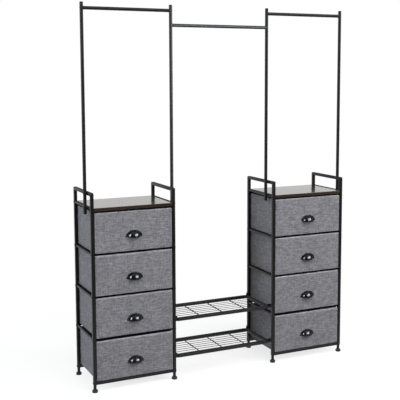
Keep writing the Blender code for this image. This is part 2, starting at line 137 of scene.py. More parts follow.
class Wire:
    """An output of a node. The operators on it add Math nodes."""

    def __init__(self, recipe, socket):
        self.recipe = recipe
        self.socket = socket

    def maths(self, operation, other=0.0):
        return self.recipe.node("ShaderNodeMath", {"operation": operation}, {0: self, 1: other})

    def __add__(self, other):
        return self.maths("ADD", other)

    def __mul__(self, other):
        return self.maths("MULTIPLY", other)

    __radd__ = __add__
    __rmul__ = __mul__

    def sine(self):
        return self.maths("SINE")

    def larger(self, other):
        return self.maths("MAXIMUM", other)


class Recipe:
    """One material: its Principled shader takes plain numbers here, and varying ones through feed."""

    def __init__(self, name, **numbers):
        self.material = bpy.data.materials.new(name)
        self.material.use_nodes = True
        self.tree = self.material.node_tree
        self.shader = self.tree.nodes["Principled BSDF"]
        for words, value in numbers.items():
            self.shader.inputs[words.replace("_", " ")].default_value = value

    def node(self, kind, settings, inputs, output=0):
        sockets = {key: value.socket if isinstance(value, Wire) else value for key, value in inputs.items()}
        return Wire(self, add_node(self.tree, kind, settings, sockets, output))

    def place(self, scale=(1, 1, 1)):
        """Object coordinates in metres, stretched by a scale along each axis."""
        where = self.node("ShaderNodeTexCoord", {}, {}, "Object")
        return self.node("ShaderNodeMapping", {}, {"Vector": where, "Scale": scale})

    def along(self, axis, vector):
        return self.node("ShaderNodeSeparateXYZ", {}, {"Vector": vector}, axis)

    def noise(self, scale, detail=3.0, roughness=0.5):
        """A cloudy value from 0 to 1; scale is in cycles a metre, one number or three."""
        three = scale if isinstance(scale, tuple) else (scale,) * 3
        numbers = {"Vector": self.place(three), "Scale": 1.0, "Detail": detail, "Roughness": roughness}
        return self.node("ShaderNodeTexNoise", {}, numbers)

    def ramp(self, factor, *stops):
        return self.node("ShaderNodeValToRGB", {"stops": stops}, {"Fac": factor})

    def two_tones(self, factor, dark, light):
        self.feed("Base Color", self.ramp(factor, (0.3, dark), (0.7, light)))

    def bump(self, height, strength, distance):
        """The last bump becomes the shader's normal."""
        numbers = {"Height": height, "Strength": strength, "Distance": distance}
        return self.feed("Normal", self.node("ShaderNodeBump", {}, numbers))

    def feed(self, name, wire):
        self.tree.links.new(wire.socket, self.shader.inputs[name])
        return self


print("the material recipe is ready")

# %% [markdown]
# ## The studio
# A product picture has a white surround and soft shadows. We keep the lamps at a plain level, so that a
# colour renders about as it is written. The camera sees white all round. Mirror-like rays see white behind
# and above the rack and a darker room in front, so that black metal stays black while the tops of the boards
# still catch the white.

# %% World
MATT_LIGHT = 0.38
MIRROR_FRONT = 0.10
BEHIND = (-0.25, 0.15)
ABOVE = (0.55, 0.85)

world = bpy.data.worlds.new("studio")
scene.world = world
world.use_nodes = True
backdrop = world.node_tree.nodes["Background"]
backdrop.inputs["Color"].default_value = (1, 1, 1, 1)


def mix_numbers(tree, factor, first, second):
    return add_node(tree, "ShaderNodeMix", {"data_type": "FLOAT"}, {0: factor, 2: first, 3: second})


def maximum(tree, first, second):
    return add_node(tree, "ShaderNodeMath", {"operation": "MAXIMUM"}, {0: first, 1: second})


def between(tree, value, limits, **settings):
    """Grows from 0 at the first limit to 1 at the second."""
    numbers = {"Value": value, "From Min": limits[0], "From Max": limits[1]}
    return add_node(tree, "ShaderNodeMapRange", settings, numbers)


tree = world.node_tree
rays = tree.nodes.new("ShaderNodeLightPath")
way = add_node(tree, "ShaderNodeTexCoord", {}, {}, "Generated")
depth = add_node(tree, "ShaderNodeSeparateXYZ", {}, {"Vector": way}, "Y")
height = add_node(tree, "ShaderNodeSeparateXYZ", {}, {"Vector": way}, "Z")
white = maximum(tree, between(tree, depth, BEHIND), between(tree, height, ABOVE))
mirrored = mix_numbers(tree, white, MIRROR_FRONT, 1.0)
mirror_rays = maximum(tree, rays.outputs["Is Glossy Ray"], rays.outputs["Is Transmission Ray"])
strength = mix_numbers(tree, mirror_rays, MATT_LIGHT, mirrored)
strength = mix_numbers(tree, rays.outputs["Is Camera Ray"], strength, 1.0)
tree.links.new(strength, backdrop.inputs["Strength"])
print("surround for matt surfaces:", MATT_LIGHT)

# %% [markdown]
# The floor is a matt disc. Most of its white is a light of its own, for the camera and mirror-like rays
# only, so the rack's shadow stays on it but is pale. Further out it turns into plain white, so that no
# horizon shows. Matt surfaces get the plain floor's light back. Mirror-like rays see it darken towards the
# front of the room, so the black frames grow a little lighter towards their feet.

# %% Floor
FLOOR_BOUNCE = 0.40
FLOOR_COLOUR = 0.32
FLOOR_LIFT = 0.76
FLOOR_RADIUS = 9.0
FADE = (0.3, 1.8)
DARKEN = (-0.5, -2.2)

floor_mesh = bmesh.new()
bmesh.ops.create_circle(floor_mesh, cap_ends=True, segments=96, radius=FLOOR_RADIUS)
floor_data = bpy.data.meshes.new("studio_floor")
floor_mesh.to_mesh(floor_data)
floor_mesh.free()
floor = bpy.data.objects.new("studio_floor", floor_data)
scene.collection.objects.link(floor)
floor_paint = bpy.data.materials.new("matt_white_floor")
floor_paint.use_nodes = True
tree = floor_paint.node_tree
matt = tree.nodes["Principled BSDF"]
matt.inputs["Roughness"].default_value = 1.0
matt.inputs["Specular IOR Level"].default_value = 0.0
matt.inputs["Emission Color"].default_value = (1, 1, 1, 1)
rays = tree.nodes.new("ShaderNodeLightPath")
seen = maximum(tree, rays.outputs["Is Camera Ray"], rays.outputs["Is Glossy Ray"])
seen = maximum(tree, seen, rays.outputs["Is Transmission Ray"])
tree.links.new(mix_numbers(tree, seen, FLOOR_BOUNCE, FLOOR_COLOUR), matt.inputs["Base Color"])
tree.links.new(mix_numbers(tree, seen, 0.0, FLOOR_LIFT), matt.inputs["Emission Strength"])
where = add_node(tree, "ShaderNodeTexCoord", {}, {}, "Object")
distance = add_node(tree, "ShaderNodeVectorMath", {"operation": "LENGTH"}, {0: where}, "Value")
far = between(tree, distance, FADE, interpolation_type="SMOOTHSTEP")
far = add_node(tree, "ShaderNodeMath", {"operation": "MULTIPLY"}, {0: far, 1: seen})
towards_front = add_node(tree, "ShaderNodeSeparateXYZ", {}, {"Vector": where}, "Y")
mirrored = mix_numbers(tree, between(tree, towards_front, DARKEN), 1.0, MIRROR_FRONT)
white = mix_numbers(tree, rays.outputs["Is Camera Ray"], mirrored, 1.0)
plain = add_node(tree, "ShaderNodeEmission", {}, {"Color": (1, 1, 1, 1), "Strength": white})
surface = add_node(tree, "ShaderNodeMixShader", {}, {0: far, 1: matt.outputs[0], 2: plain})
tree.links.new(surface, tree.nodes["Material Output"].inputs["Surface"])
floor_data.materials.append(floor_paint)
floor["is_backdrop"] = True
print("floor:", FLOOR_COLOUR, "fades out at", FADE[1], "m")

# %% Lamps
AIM = Vector((0.0, 0.0, 0.75))


def soft_box(name, azimuth, elevation, distance, size, watts, colour=(1, 1, 1)):
    """An area lamp that faces the rack; azimuth 0 is straight in front, and 90 is at the rack's right."""
    turn = math.radians(azimuth)
    rise = math.radians(elevation)
    towards = Vector((math.sin(turn) * math.cos(rise), -math.cos(turn) * math.cos(rise), math.sin(rise)))
    data = bpy.data.lights.new(name, "AREA")
    data.shape = "RECTANGLE"
    data.size, data.size_y = size
    data.energy = watts
    data.color = colour
    lamp = bpy.data.objects.new(name, data)
    lamp.location = AIM + towards * distance
    lamp.rotation_mode = "QUATERNION"
    lamp.rotation_quaternion = (-towards).to_track_quat("-Z", "Y")
    scene.collection.objects.link(lamp)
    return lamp


COOL = (0.84, 0.93, 1.0)
overhead = soft_box("overhead_soft_box", 14, 48, 4.2, (4.2, 3.2), 126, (0.97, 0.985, 1.0))
soft_box("left_soft_box", -76, 17, 4.2, (1.2, 2.0), 67, COOL)
soft_box("right_soft_box", 45, 24, 4.5, (1.0, 1.8), 52)
scene.view_settings.view_transform = "Standard"

# %% [markdown]
# ## Finishes
# The tubes are steel with a black powder coat. Under a lens it has a fine ripple, like the skin of an
# orange, and its gloss wanders a little. A shallow bump with about one ripple to the millimetre gives that,
# and dust dulls whatever faces up. We mix the coat three times: glossiest on the round tube, darker on the
# side frames, and darker still and almost without gloss on the cross rails above the bottom ones, which is
# painted shade for the shadow those rails lie in. The plastic of the feet is duller and grainier.

# %% Powder coat, plastic and screws
DUST = 0.34


def powder_coat(name, gloss, depth=1.0, rough=0.44):
    """A gloss of 0.5 mirrors 4% straight on; depth makes the black itself lighter or darker."""
    recipe = Recipe(name, Specular_IOR_Level=gloss)
    patches = recipe.noise(25.0, 2.0)
    ripple = recipe.noise(850.0, 2.0)
    dark, light = Vector((0.0042, 0.0044, 0.0048)), Vector((0.0072, 0.0075, 0.0080))
    recipe.two_tones(patches, depth * dark, depth * light)
    outward = recipe.node("ShaderNodeTexCoord", {}, {}, "Normal")
    facing_up = recipe.along("Z", outward).larger(0.0)
    recipe.feed("Roughness", patches * 0.10 + ripple * 0.08 + facing_up * DUST + rough)
    return recipe.bump(ripple, 0.09, 0.0001).material


def black_plastic():
    recipe = Recipe("black_moulded_plastic", Specular_IOR_Level=0.45)
    grain = recipe.noise(1600.0, 2.0)
    patches = recipe.noise(60.0, 2.0)
    recipe.two_tones(patches, (0.011, 0.011, 0.012), (0.019, 0.019, 0.020))
    recipe.feed("Roughness", grain * 0.2 + 0.42)
    return recipe.bump(grain, 0.25, 0.0001).material


def black_zinc():
    recipe = Recipe("black_zinc_screws", Metallic=0.9)
    patches = recipe.noise(400.0, 3.0)
    recipe.two_tones(patches, (0.035, 0.036, 0.040), (0.085, 0.087, 0.094))
    recipe.feed("Roughness", patches * 0.22 + 0.24)
    return recipe.bump(patches, 0.15, 0.0001).material


ROUND_TUBE_COAT = powder_coat("black_powder_coat_on_round_tube", 0.36, 0.55, 0.37)
FRAME_COAT = powder_coat("black_powder_coat_on_frames", 0.30, 0.4, 0.34)
# painted shade: a darker copy of the coat with almost no gloss, for the rails that lie in shadow
SHADED_RAIL_COAT = powder_coat("black_powder_coat_on_rails", 0.03, 0.35)
PLASTIC = black_plastic()
SCREW = black_zinc()
print("finishes:", ROUND_TUBE_COAT.name, FRAME_COAT.name, SHADED_RAIL_COAT.name, PLASTIC.name, SCREW.name)

# %% [markdown]
# The top boards are chipboard under a dark walnut film. Seen almost edge-on the film mirrors the white room,
# so the tops look pale grey in the photograph, while their front edges show the brown. The grain runs along
# the board: noise that is stretched a lot along X gives the long fibres, and a slower one bends the darker
# bands.
#
# The pulls are cast, polished and plated almost black. Plating is a metal, so its colour is that of its
# reflections: a very dark grey mirrors the soft boxes as clear streaks and all else as near black.

# %% Walnut film and black nickel
def walnut_film():
    recipe = Recipe("dark_walnut_film", Specular_IOR_Level=0.25, Coat_Weight=0.42, Coat_Roughness=0.09)
    bands = recipe.noise((1.6, 26.0, 40.0), 4.0, 0.55)
    fibres = recipe.noise((9.0, 700.0, 700.0), 3.0, 0.6)
    pores = recipe.noise((40.0, 1500.0, 1500.0), 1.0)
    tone = bands * 0.65 + fibres * 0.35
    stops = (
        (0.28, (0.014, 0.0087, 0.0063)),
        (0.45, (0.029, 0.0182, 0.0129)),
        (0.58, (0.046, 0.0294, 0.0210)),
        (0.72, (0.073, 0.0483, 0.0350)),
    )
    recipe.feed("Base Color", recipe.ramp(tone, *stops))
    recipe.feed("Roughness", fibres * 0.16 + 0.12)
    return recipe.bump(fibres * 0.6 + pores * 0.4, 0.18, 0.00012).material


def black_nickel():
    recipe = Recipe("black_nickel", Metallic=1.0)
    cloud = recipe.noise(90.0, 3.0)
    cast = recipe.noise(700.0, 2.0)
    recipe.two_tones(cloud, (0.026, 0.027, 0.029), (0.036, 0.037, 0.040))
    recipe.feed("Roughness", cloud * 0.07 + cast * 0.04 + 0.16)
    return recipe.bump(cast, 0.06, 0.0001).material


WALNUT = walnut_film()
NICKEL = black_nickel()
print("finishes:", WALNUT.name, NICKEL.name)

# %% [markdown]
# The drawers are covered in a grey linen-look cloth. What shows from across a room is not the weave but the
# slubs, threads that thicken for a few centimetres and make short light and dark dashes. Two stretched
# noises make them, one for each direction of thread. Two sine waves, one thread apart, make the weave itself
# as relief. Reading the cloth by x plus y lets one recipe cover the front and the sides.

# %% Linen, lining and thread
THREAD_PITCH = 0.0012
SLUB_LENGTH = 0.027
SLUB_WIDTH = 0.0034


def weave(recipe):
    """Relief of a plain weave on upright faces: ridges one thread apart, along and across."""
    where = recipe.place()
    turns = math.tau / THREAD_PITCH
    across = recipe.along("X", where) + recipe.along("Y", where)
    return (across * turns).sine() * (recipe.along("Z", where) * turns).sine()


def linen(name="grey_linen", bright=1.0):
    recipe = Recipe(name, Roughness=0.9, Specular_IOR_Level=0.25, Sheen_Weight=0.12, Sheen_Roughness=0.5)
    along = 1 / SLUB_LENGTH
    across = 1 / SLUB_WIDTH
    weft = recipe.noise((along, along, across), 3.0, 0.6)
    warp = recipe.noise((across, across, along), 3.0, 0.6)
    fuzz = recipe.noise(215.0, 3.0, 0.65)
    patches = recipe.noise(14.0, 2.0)
    tone = weft * 0.43 + warp * 0.25 + fuzz * 0.28 + patches * 0.04
    dark = bright * Vector((0.087, 0.085, 0.094))
    middle = bright * Vector((0.211, 0.205, 0.223))
    light = bright * Vector((0.398, 0.387, 0.414))
    recipe.feed("Base Color", recipe.ramp(tone, (0.36, dark), (0.50, middle), (0.66, light)))
    threads = weave(recipe)
    return recipe.bump(threads * 0.5 + tone * 1.6 + fuzz * 0.5, 0.45, 0.0005).material


def felt_lining():
    """Pale bonded cloth with pressed dots, as these drawers have inside."""
    recipe = Recipe("grey_felt_lining", Roughness=0.95, Specular_IOR_Level=0.2)
    fibres = recipe.noise(500.0, 4.0, 0.65)
    dots = recipe.node("ShaderNodeTexVoronoi", {}, {"Vector": recipe.place(), "Scale": 420.0})
    recipe.two_tones(fibres, (0.060, 0.061, 0.064), (0.115, 0.116, 0.120))
    return recipe.bump(fibres * 0.6 + dots * 0.8, 0.4, 0.0004).material


LINEN = linen()
# painted highlight: a paler copy of the linen for the top band and the side edges of the drawer fronts
EDGE_HIGHLIGHT_LINEN = linen("grey_linen_with_painted_edge_highlight", 1.5)
LINING = felt_lining()
THREAD = linen("grey_sewing_thread", 1.35)
print("finishes:", LINEN.name, EDGE_HIGHLIGHT_LINEN.name, LINING.name, THREAD.name)

# %% [markdown]
# ## Modelling tools
# A bmesh is an editable mesh in memory. We start each piece from a simple form, shape it with the operators
# that Edit mode has, and turn it into an object. A piece keeps its place in its mesh, so its object stays at
# the origin, and it is told which moving body it rides on.

# %% Helpers for pieces
SAME_POINT = 0.000002
ON_PLANE = 0.00001
NEAR = 0.0005  # what is closer than this counts as level with a plane


def piece(bm, name, materials, body, smooth=35.0):
    """Makes the object, shades what is rounder than the angle, and ties it to its body and finish."""
    bmesh.ops.remove_doubles(bm, verts=bm.verts, dist=SAME_POINT)
    bmesh.ops.recalc_face_normals(bm, faces=bm.faces)
    mesh = bpy.data.meshes.new(name)
    bm.to_mesh(mesh)
    bm.free()
    obj = bpy.data.objects.new(name, mesh)
    scene.collection.objects.link(obj)
    for material in materials:
        mesh.materials.append(material)
    mesh.shade_smooth()
    mesh.set_sharp_from_angle(angle=math.radians(smooth))
    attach(obj, body)
    return obj


def add_box(bm, low, high):
    low, high = Vector(low), Vector(high)
    matrix = Matrix.Translation((low + high) / 2) @ Matrix.Diagonal((*(high - low), 1.0))
    return bmesh.ops.create_cube(bm, size=1.0, matrix=matrix)["verts"]


def add_cylinder(bm, start, end, radius, segments=24, taper=1.0):
    """A closed cylinder between two points, or a cone where the taper isn't 1."""
    start, end = Vector(start), Vector(end)
    way = end - start
    turn = Vector((0, 0, 1)).rotation_difference(way).to_matrix().to_4x4()
    sizes = {"radius1": radius, "radius2": radius * taper, "depth": way.length}
    matrix = Matrix.Translation((start + end) / 2) @ turn
    return bmesh.ops.create_cone(bm, cap_ends=True, segments=segments, matrix=matrix, **sizes)["verts"]


def only(kind, geometry):
    return [item for item in geometry if isinstance(item, kind)]


def reach(edge, axis):
    """How far an edge goes along an axis."""
    return abs(edge.verts[0].co[axis] - edge.verts[1].co[axis])


def edges_among(verts, test=lambda edge: True):
    chosen = set(verts)
    found = {edge for vert in chosen for edge in vert.link_edges if edge.other_vert(vert) in chosen}
    return sorted((edge for edge in found if test(edge)), key=lambda edge: edge.index)


def sharp_edges(edges):
    return [edge for edge in edges if edge.calc_face_angle(0.0) > 1.0]


def round_edges(bm, geom, width, segments=3, affect="EDGES"):
    """Rounds edges, or the corners of a flat face where affect is VERTICES."""
    bmesh.ops.bevel(bm, geom=geom, offset=width, segments=segments, profile=0.5, affect=affect, material=-1)


def cut(bm, point, normal, **settings):
    """Cuts the mesh along a plane."""
    geometry = bm.verts[:] + bm.edges[:] + bm.faces[:]
    bmesh.ops.bisect_plane(bm, geom=geometry, plane_co=point, plane_no=normal, **settings)


def cut_across(bm, axis, places):
    """Adds loops of edges where planes across an axis meet the mesh, so that it can bend there."""
    normal = Vector()
    normal[axis] = 1.0
    for place in places:
        cut(bm, normal * place, normal, dist=ON_PLANE)


def spread(low, high, count):
    """Evenly spaced places strictly between two limits."""
    return [low + (high - low) * (n + 1) / (count + 1) for n in range(count)]


print("modelling tools are ready")

# %% [markdown]
# ## Side frames
# Each side frame is one square tube bent up, across and down again, with thinner rails welded between its
# legs. We draw its outline as a flat face, round its two outer corners, and pull it out to the width of the
# tube. Rounding the long edges gives the soft corners of drawn tube. A weld leaves a small swelling, so each
# rail end gets a low rounded collar.

# %% Side frames
TUBE = 0.015
CORNER = 0.006
TUBE_EDGE = 0.0016
RAIL = 0.010
RAIL_EDGE = 0.0012
RAIL_LAP = 0.001  # into the legs
TOP_RAIL_RISE = 0.0015  # above the board
TOP_RAIL_INSET = 0.0002
WELD = 0.0022
COLLAR_RISE = 0.0007
COLLAR_EDGE = 0.0009
COLLAR_INSET = 0.0010
FERRULE = 0.0073
FERRULE_LAP = 0.002
AWAY = {"left_outer": -1, "left_inner": 1, "right_inner": -1, "right_outer": 1}  # from its dresser, along X
SIDES = {name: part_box(f"{name}_side_frame") for name in AWAY}
_, FRONT, FERRULE_BOTTOM = SIDES["left_outer"][0]
_, BACK, HANDLE_TOP = SIDES["left_outer"][1]
LEG_CENTRES = (FRONT + TUBE / 2, BACK - TUBE / 2)
LEG_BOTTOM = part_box("left_bottom_front_rail")[0].z
BOARD_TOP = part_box("left_top_board")[1].z


def middle(node):
    low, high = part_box(node)
    return (low + high) / 2


RAIL_LEVELS = [middle(f"left_front_rail_{number}").z for number in (1, 2, 3)]
TOP_RAIL_LEVEL = BOARD_TOP + TOP_RAIL_RISE - RAIL / 2


def frame_outline(bm, x):
    """The bent tube seen from the side, as one flat face with rounded outer corners."""
    inner_front, inner_back, under = FRONT + TUBE, BACK - TUBE, HANDLE_TOP - TUBE
    corners = [(FRONT, LEG_BOTTOM), (FRONT, HANDLE_TOP), (BACK, HANDLE_TOP), (BACK, LEG_BOTTOM)]
    corners += [(inner_back, LEG_BOTTOM), (inner_back, under)]
    corners += [(inner_front, under), (inner_front, LEG_BOTTOM)]
    verts = [bm.verts.new((x, y, z)) for y, z in corners]
    bm.faces.new(verts)
    round_edges(bm, verts[1:3], CORNER, 6, "VERTICES")
    return bm.faces[:]


def weld_collar(bm, x, y, z, half_width, half_height):
    half = Vector((half_width + COLLAR_RISE, WELD / 2, half_height + COLLAR_RISE))
    centre = Vector((x, y, z))
    verts = add_box(bm, centre - half, centre + half)
    round_edges(bm, edges_among(verts), COLLAR_EDGE, 2)


def side_frame(name):
    low, high = SIDES[name]
    bm = bmesh.new()
    pulled = bmesh.ops.extrude_face_region(bm, geom=frame_outline(bm, low.x))
    bmesh.ops.translate(bm, verts=only(BMVert, pulled["geom"]), vec=(high.x - low.x, 0, 0))
    bmesh.ops.recalc_face_normals(bm, faces=bm.faces)
    rims = [edge for edge in bm.edges if reach(edge, 0) < NEAR]
    long_rims = [edge for edge in rims if max(v.co.z for v in edge.verts) > LEG_BOTTOM + NEAR]
    round_edges(bm, long_rims, TUBE_EDGE)

    x = (low.x + high.x) / 2
    ends = (FRONT + TUBE - RAIL_LAP, BACK - TUBE + RAIL_LAP)
    rails = [(RAIL / 2, level) for level in RAIL_LEVELS] + [(TUBE / 2 - TOP_RAIL_INSET, TOP_RAIL_LEVEL)]
    for half_width, level in rails:
        lowest = (x - half_width, ends[0], level - RAIL / 2)
        verts = add_box(bm, lowest, (x + half_width, ends[1], level + RAIL / 2))
        round_edges(bm, edges_among(verts, lambda edge: reach(edge, 1) > NEAR), RAIL_EDGE)
        for y in ends:
            weld_collar(bm, x, y, level, min(half_width, TUBE / 2 - COLLAR_INSET), RAIL / 2)
    for y in LEG_CENTRES:
        add_cylinder(bm, (x, y, FERRULE_BOTTOM), (x, y, LEG_BOTTOM + FERRULE_LAP), FERRULE, 32)
    obj = piece(bm, f"{name}_tube_frame", [FRAME_COAT], "rack")
    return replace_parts(obj, f"{name}_side_frame")


for side_name in SIDES:
    side_frame(side_name)
print("side frames:", len(SIDES), "rail levels:", [round(level, 4) for level in RAIL_LEVELS])

# %% [markdown]
# ## Finishes for the pieces that keep their form
# The cross rails and the boards already have the right shape, so they only change their material.

# %% Rails and boards
BOARDS = ["left_top_board", "right_top_board"]
RAILS = [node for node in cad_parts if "_rail" in node]
for node in RAILS + BOARDS:
    # painted shade: the lit bottom rails keep the frames' coat, the other rails get the darker shaded copy
    coat = FRAME_COAT if "_bottom_" in node else SHADED_RAIL_COAT
    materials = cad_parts[node].data.materials
    materials.clear()
    materials.append(WALNUT if node in BOARDS else coat)
print("dressed:", len(RAILS), "rails and", len(BOARDS), "boards")

# %% [markdown]
# ## Posts and hanging rods
# A post is a round tube with a low domed plug in its top, both from one half profile turned about its axis.
# The rods end in a saddle: moving the end ring of a cylinder onto the post's surface, point by point along
# X, gives that fit without a cutter.

# %% Posts
POST_RADIUS = 0.008
POST_WALL = 0.0012
PLUG_RISE = 0.0028
PLUG_ROUND = (0.0035, 0.0020)
SEAM = 0.0004
OPEN_FOOT = 0.03
ROUND_STEPS = 36
POSTS = {name: middle(f"{name}_post") for name in SIDES}
POST_BOTTOM, POST_TOP = (corner.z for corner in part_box("left_outer_post"))


def turned(bm, profile, centre, steps=ROUND_STEPS):
    """Turns a profile of (radius, height) points about an upright axis."""
    verts = [bm.verts.new((centre.x + radius, centre.y, height)) for radius, height in profile]
    edges = [bm.edges.new(pair) for pair in zip(verts, verts[1:])]
    axis = {"cent": (centre.x, centre.y, 0), "axis": (0, 0, 1)}
    bmesh.ops.spin(bm, geom=verts + edges, angle=math.tau, steps=steps, use_merge=True, **axis)


def quarter_round(radius, height, size_in, size_up, steps=5):
    """Points of a rounded edge that runs from flat on top to upright at the side."""
    angles = [math.pi / 2 * (1 - n / steps) for n in range(steps + 1)]
    turns = [(math.cos(angle) - 1, math.sin(angle) - 1) for angle in angles]
    return [(radius + size_in * across, height + size_up * up) for across, up in turns]


def post_piece(name):
    bm = bmesh.new()
    plug_edge = POST_TOP - PLUG_RISE
    groove = POST_RADIUS - SEAM
    inside = POST_RADIUS - POST_WALL
    profile = [(0.0, POST_TOP)] + quarter_round(POST_RADIUS, POST_TOP - SEAM, *PLUG_ROUND)
    profile += [(POST_RADIUS, plug_edge), (groove, plug_edge - 0.5 * SEAM)]
    profile += [(groove, plug_edge - 1.5 * SEAM), (POST_RADIUS, plug_edge - 2 * SEAM)]
    profile += [(POST_RADIUS, POST_BOTTOM), (inside, POST_BOTTOM)]
    profile += [(inside, POST_BOTTOM + OPEN_FOOT), (0.0, POST_BOTTOM + OPEN_FOOT)]
    turned(bm, profile, POSTS[name])
    obj = piece(bm, f"{name}_round_post", [ROUND_TUBE_COAT], "rack", 40.0)
    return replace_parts(obj, f"{name}_post")


for post_name in POSTS:
    post_piece(post_name)
print("posts at x:", [round(centre.x, 4) for centre in POSTS.values()])

# %% Hanging rods
RODS = {
    "left_hanging_rod": ("left_outer", "left_inner"),
    "middle_hanging_rod": ("left_inner", "right_inner"),
    "right_hanging_rod": ("right_inner", "right_outer"),
}
ROD_RADIUS = 0.008


def rod_piece(node):
    bm = bmesh.new()
    height = middle(node).z
    first, last = (POSTS[name] for name in RODS[node])
    verts = add_cylinder(bm, (*first.xy, height), (*last.xy, height), ROD_RADIUS, ROUND_STEPS)
    for vert in verts:  # onto the post's surface, along X
        at_first = abs(vert.co.x - first.x) < abs(vert.co.x - last.x)
        post, side = (first, 1) if at_first else (last, -1)
        off_axis = min(abs(vert.co.y - post.y), POST_RADIUS)
        vert.co.x = post.x + side * math.sqrt(POST_RADIUS**2 - off_axis**2)
    obj = piece(bm, f"{node}_tube", [ROUND_TUBE_COAT], "rack", 60.0)
    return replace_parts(obj, node)


for rod_name in RODS:
    rod_piece(rod_name)
ROD_LEVELS = {name: middle(name).z for name in RODS}
print("rod levels:", {name: round(level, 4) for name, level in ROD_LEVELS.items()})

# %% [markdown]
# ## Fabric drawers
# Each drawer is a cloth bin held in shape by stiff panels. Its front is a board under stretched cloth, with
# a rolled upper edge. A band along its top and a strip down each side get a paler copy of the linen: painted
# highlight where those edges catch the light. The rest is a thin tub with a folded hem round its rim and a
# loose board on its floor. A perfectly flat cloth looks like paint, so the faces get loops of edges and a
# slow random wave, at most a millimetre deep, that fades out towards the stiff edges.

# %% A slow wave for stretched cloth
def wave(point, seed, size):
    """A smooth random value from -1 to 1 that changes over a distance of about size."""
    return noise.noise(point / size + seed * Vector((7.3, 3.1, 5.7)))


def fade(value, low, high, margin):
    """0 at both limits and 1 further than a margin inside them."""
    inside = min(1.0, max(0.0, min(value - low, high - value) / margin))
    return inside * inside * (3 - 2 * inside)


print("wave at the origin:", round(wave(Vector((0, 0, 0)), 1, 0.1), 3))

# %% Covered front
FRONT_THICKNESS = 0.0095
ROLLED_EDGE = 0.0070
PANEL_EDGE = 0.0026
CLOTH_WAVE = 0.0005
FRONT_WAVES = 0.06
STIFF_EDGE = 0.03
# height of the top band that is painted with the paler linen as a highlight
TOP_HIGHLIGHT_BAND = 0.0062


def covered_front(drawer, low, high, seed):
    bm = bmesh.new()
    back = low.y + FRONT_THICKNESS
    verts = add_box(bm, low, (high.x, back, high.z))
    top_front = [v for v in verts if v.co.z > high.z - NEAR and v.co.y < low.y + NEAR]
    round_edges(bm, edges_among(top_front), ROLLED_EDGE, 7)
    round_edges(bm, sharp_edges(bm.edges), PANEL_EDGE)
    cut_across(bm, 0, spread(low.x, high.x, 30))
    cut_across(bm, 2, spread(low.z, high.z, 14) + [high.z - TOP_HIGHLIGHT_BAND])
    for vert in bm.verts:
        flat = fade(vert.co.x, low.x, high.x, STIFF_EDGE) * fade(vert.co.z, low.z, high.z, STIFF_EDGE)
        if vert.co.y < (low.y + back) / 2:
            vert.co.y += CLOTH_WAVE * flat * (0.4 + wave(vert.co, seed, FRONT_WAVES))
    # painted highlight: faces on the rounded sides and in the top band take the paler linen
    for face in bm.faces:
        centre = face.calc_center_median()
        at_side = min(centre.x - low.x, high.x - centre.x) < PANEL_EDGE
        face.material_index = int(at_side or centre.z > high.z - TOP_HIGHLIGHT_BAND)
    return piece(bm, f"{drawer}_covered_front", [LINEN, EDGE_HIGHLIGHT_LINEN], drawer, 30.0)


print("front panels are", FRONT_THICKNESS * 1000, "mm thick")

# %% Tub, hem and floor board
TUB_WALL = 0.0022
HEM = 0.014
HEM_RISE = 0.0007
TUB_CORNER = 0.0035
TUB_BOTTOM_EDGE = 0.006
TUB_LAP = 0.0010  # into the covered front
TUB_WAVES = 0.07
TUB_STIFF_EDGE = 0.04
BOARD_THICKNESS = 0.003
BOARD_GAP = 0.0015
BOARD_EDGE = 0.0010


def cloth_tub(drawer, low, high, seed):
    """Sides, back and floor of the bin. It is open above, and the covered front closes it."""
    bm = bmesh.new()
    start = low.y + FRONT_THICKNESS - TUB_LAP
    add_box(bm, (low.x, start, low.z), high)
    open_faces = [face for face in bm.faces if face.normal.z > 0.9 or face.normal.y < -0.9]
    bmesh.ops.delete(bm, geom=open_faces, context="FACES")
    upright = [edge for edge in bm.edges if not edge.is_boundary and reach(edge, 2) > NEAR]
    round_edges(bm, upright, TUB_CORNER, 5)
    bottom = [e for e in bm.edges if not e.is_boundary and all(v.co.z < low.z + NEAR for v in e.verts)]
    round_edges(bm, bottom, TUB_BOTTOM_EDGE, 4)
    cut_across(bm, 1, spread(start, high.y, 14))
    cut_across(bm, 0, spread(low.x, high.x, 18))
    cut_across(bm, 2, spread(low.z, high.z - HEM, 8) + [high.z - HEM])
    for vert in bm.verts:
        upright_fade = fade(vert.co.z, low.z, high.z - HEM, STIFF_EDGE)
        sunk = CLOTH_WAVE * upright_fade * (1 + wave(vert.co, seed, TUB_WAVES))
        if min(vert.co.x - low.x, high.x - vert.co.x) < NEAR:
            side = 1 if vert.co.x < 0.5 * (low.x + high.x) else -1
            vert.co.x += side * sunk * fade(vert.co.y, start, high.y, TUB_STIFF_EDGE)
        elif high.y - vert.co.y < NEAR:
            vert.co.y -= sunk * fade(vert.co.x, low.x, high.x, TUB_STIFF_EDGE)
    bmesh.ops.recalc_face_normals(bm, faces=bm.faces)
    band = [face for face in bm.faces if face.calc_center_median().z > high.z - HEM]
    bmesh.ops.inset_region(bm, faces=band, thickness=0.0, depth=HEM_RISE, use_even_offset=True)
    tub = piece(bm, f"{drawer}_cloth_tub", [LINEN, LINING], drawer, 30.0)
    wall = tub.modifiers.new("wall", "SOLIDIFY")
    wall.thickness = TUB_WALL
    wall.offset = -1.0
    wall.use_even_offset = True
    wall.material_offset = 1
    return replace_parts(tub, f"{drawer}_bin")


